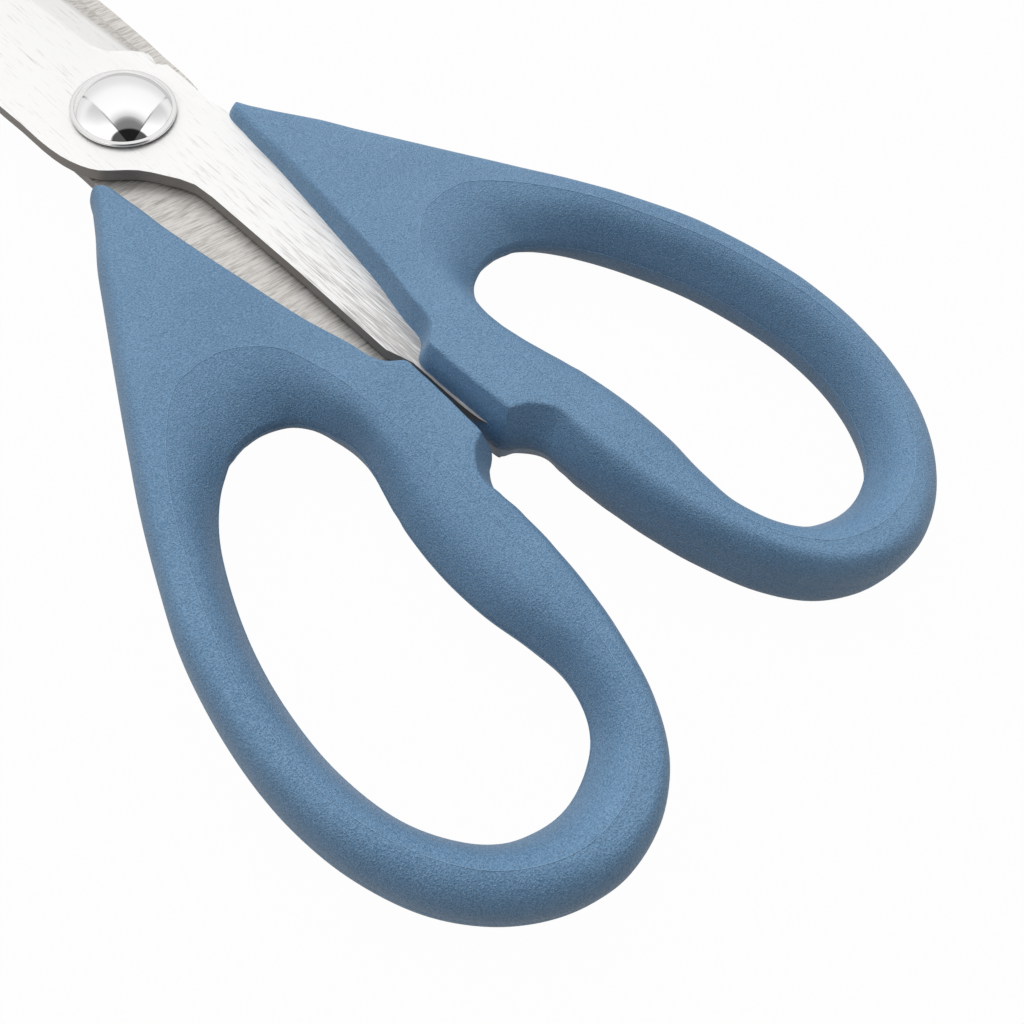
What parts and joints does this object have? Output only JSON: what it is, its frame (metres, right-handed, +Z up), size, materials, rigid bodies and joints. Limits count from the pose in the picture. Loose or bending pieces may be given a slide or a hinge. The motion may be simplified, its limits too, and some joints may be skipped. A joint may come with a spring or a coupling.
{
  "type": "kitchen scissors",
  "caption": "Kitchen scissors with long stainless blades on a domed rivet and matte moulded plastic handles with closed finger loops.",
  "frame": {"origin": "on the pivot's axis, in the plane that the undersides of the handles rest on", "axes": "+Y along the closed blades to their tips, +Z up through the rivet, +X across the handles"},
  "size_m": [0.089, 0.214, 0.0112],
  "materials": {
    "upper_blade_steel": "satin, brushed",
    "lower_blade_steel": "satin, brushed",
    "upper_handle_plastic": "matte, fine spark texture",
    "lower_handle_plastic": "matte, fine spark texture",
    "pivot_rivet_chrome": "polished",
    "pivot_washer_chrome": "polished",
    "pivot_cap_chrome": "polished"
  },
  "bodies": {
    "lower_half": {"lower_blade": "lower_blade_steel", "lower_handle": "lower_handle_plastic", "pivot_rivet": "pivot_rivet_chrome", "pivot_washer": "pivot_washer_chrome", "pivot_cap": "pivot_cap_chrome"},
    "upper_half": {"upper_blade": "upper_blade_steel", "upper_handle": "upper_handle_plastic"}
  },
  "joints": [
    {"name": "pivot", "type": "hinge", "parent": "lower_half", "child": "upper_half", "pos_m": [0, 0, 0.0056], "axis": [0, 0, 1], "range_deg": [0, 65]}
  ]
}
